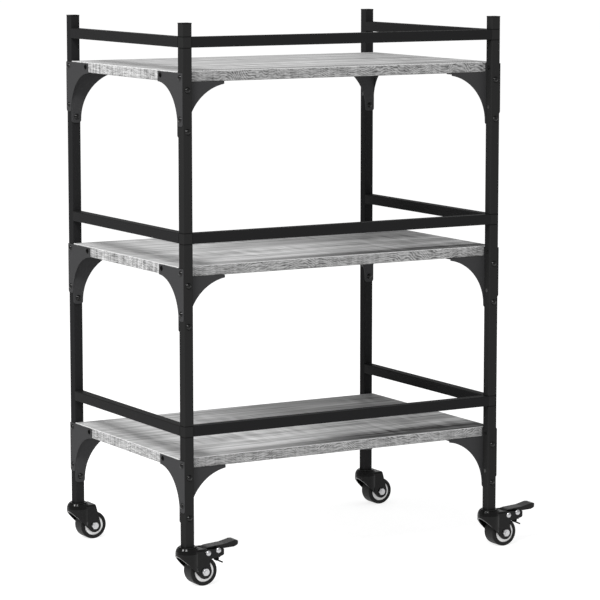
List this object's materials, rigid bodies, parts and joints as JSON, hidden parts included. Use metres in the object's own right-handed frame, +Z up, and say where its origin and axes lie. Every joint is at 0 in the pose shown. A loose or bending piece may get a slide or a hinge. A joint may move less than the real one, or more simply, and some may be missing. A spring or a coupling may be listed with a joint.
{
  "type": "kitchen island cart",
  "caption": "Slim kitchen island cart: open square-tube frame, wooden shelf boards with guard rails, bolted gusset plates and swivel casters with foot brakes.",
  "frame": {"origin": "centre of the overall bounding box on the floor; the posts' own centre is 31 mm towards -X because the brake pedals stand out at the +X end", "axes": "+X along the long side, which is where the casters trail; -Y the long side with guard rails, +Y the long side without; +Z up from the floor"},
  "size_m": [0.6126, 0.396, 0.7985],
  "materials": {
    "black_powder_coat": "satin",
    "black_hardware": "satin",
    "black_plastic": "matte",
    "grey_oak": "matte",
    "zinc_plate": "satin",
    "caster_black": "gloss",
    "spring_steel": "gloss",
    "white_nylon": "satin",
    "tread_rubber": "matte"
  },
  "bodies": {
    "frame": {"post_front_left": "black_powder_coat", "post_front_right": "black_powder_coat", "post_back_left": "black_powder_coat", "post_back_right": "black_powder_coat", "post_caps": "black_plastic", "rail_front_lower": "black_powder_coat", "rail_front_middle": "black_powder_coat", "rail_front_upper": "black_powder_coat", "rail_left_lower": "black_powder_coat", "rail_left_middle": "black_powder_coat", "rail_left_upper": "black_powder_coat", "rail_right_lower": "black_powder_coat", "rail_right_middle": "black_powder_coat", "rail_right_upper": "black_powder_coat", "shelf_lower": "grey_oak", "shelf_middle": "grey_oak", "shelf_upper": "grey_oak", "end_gussets_lower": "black_powder_coat", "end_gussets_middle": "black_powder_coat", "end_gussets_upper": "black_powder_coat", "side_gussets_lower": "black_powder_coat", "side_gussets_middle": "black_powder_coat", "side_gussets_upper": "black_powder_coat", "frame_bolts_lower": "black_hardware", "frame_bolts_middle": "black_hardware", "frame_bolts_upper": "black_hardware", "frame_nuts": "black_hardware", "shelf_screws": "black_hardware", "caster_sockets": "black_plastic", "caster_stems": "zinc_plate", "caster_balls": "zinc_plate"},
    "caster_front_left": {"fork_front_left": "caster_black", "axle_front_left": "zinc_plate", "axle_nut_front_left": "zinc_plate", "brake_rivets_left": "zinc_plate", "brake_spring_left": "spring_steel"},
    "wheel_front_left": {"wheel_core_front_left": "white_nylon", "tyre_front_left": "tread_rubber"},
    "pedal_left": {"brake_pedal_left": "caster_black"},
    "caster_front_right": {"fork_front_right": "caster_black", "axle_front_right": "zinc_plate", "axle_nut_front_right": "zinc_plate", "brake_rivets_right": "zinc_plate", "brake_spring_right": "spring_steel"},
    "wheel_front_right": {"wheel_core_front_right": "white_nylon", "tyre_front_right": "tread_rubber"},
    "pedal_right": {"brake_pedal_right": "caster_black"},
    "caster_back_left": {"fork_back_left": "caster_black", "axle_back_left": "zinc_plate", "axle_nut_back_left": "zinc_plate"},
    "wheel_back_left": {"wheel_core_back_left": "white_nylon", "tyre_back_left": "tread_rubber"},
    "caster_back_right": {"fork_back_right": "caster_black", "axle_back_right": "zinc_plate", "axle_nut_back_right": "zinc_plate"},
    "wheel_back_right": {"wheel_core_back_right": "white_nylon", "tyre_back_right": "tread_rubber"}
  },
  "joints": [
    {"name": "swivel_front_left", "type": "hinge", "parent": "frame", "child": "caster_front_left", "pos_m": [-0.28875, -0.1785, 0.0545], "axis": [0, 0, 1], "continuous": true},
    {"name": "roll_front_left", "type": "hinge", "parent": "caster_front_left", "child": "wheel_front_left", "pos_m": [-0.26825, -0.1785, 0.021], "axis": [0, 1, 0], "continuous": true},
    {"name": "brake_left", "type": "hinge", "parent": "caster_front_left", "child": "pedal_left", "pos_m": [-0.26265, -0.1785, 0.0473], "axis": [0, 1, 0], "range_deg": [0, 14]},
    {"name": "swivel_front_right", "type": "hinge", "parent": "frame", "child": "caster_front_right", "pos_m": [0.22625, -0.1785, 0.0545], "axis": [0, 0, 1], "continuous": true},
    {"name": "roll_front_right", "type": "hinge", "parent": "caster_front_right", "child": "wheel_front_right", "pos_m": [0.24675, -0.1785, 0.021], "axis": [0, 1, 0], "continuous": true},
    {"name": "brake_right", "type": "hinge", "parent": "caster_front_right", "child": "pedal_right", "pos_m": [0.25235, -0.1785, 0.0473], "axis": [0, 1, 0], "range_deg": [0, 14]},
    {"name": "swivel_back_left", "type": "hinge", "parent": "frame", "child": "caster_back_left", "pos_m": [-0.28875, 0.1785, 0.0545], "axis": [0, 0, 1], "continuous": true},
    {"name": "roll_back_left", "type": "hinge", "parent": "caster_back_left", "child": "wheel_back_left", "pos_m": [-0.26825, 0.1785, 0.021], "axis": [0, 1, 0], "continuous": true},
    {"name": "swivel_back_right", "type": "hinge", "parent": "frame", "child": "caster_back_right", "pos_m": [0.22625, 0.1785, 0.0545], "axis": [0, 0, 1], "continuous": true},
    {"name": "roll_back_right", "type": "hinge", "parent": "caster_back_right", "child": "wheel_back_right", "pos_m": [0.24675, 0.1785, 0.021], "axis": [0, 1, 0], "continuous": true}
  ]
}
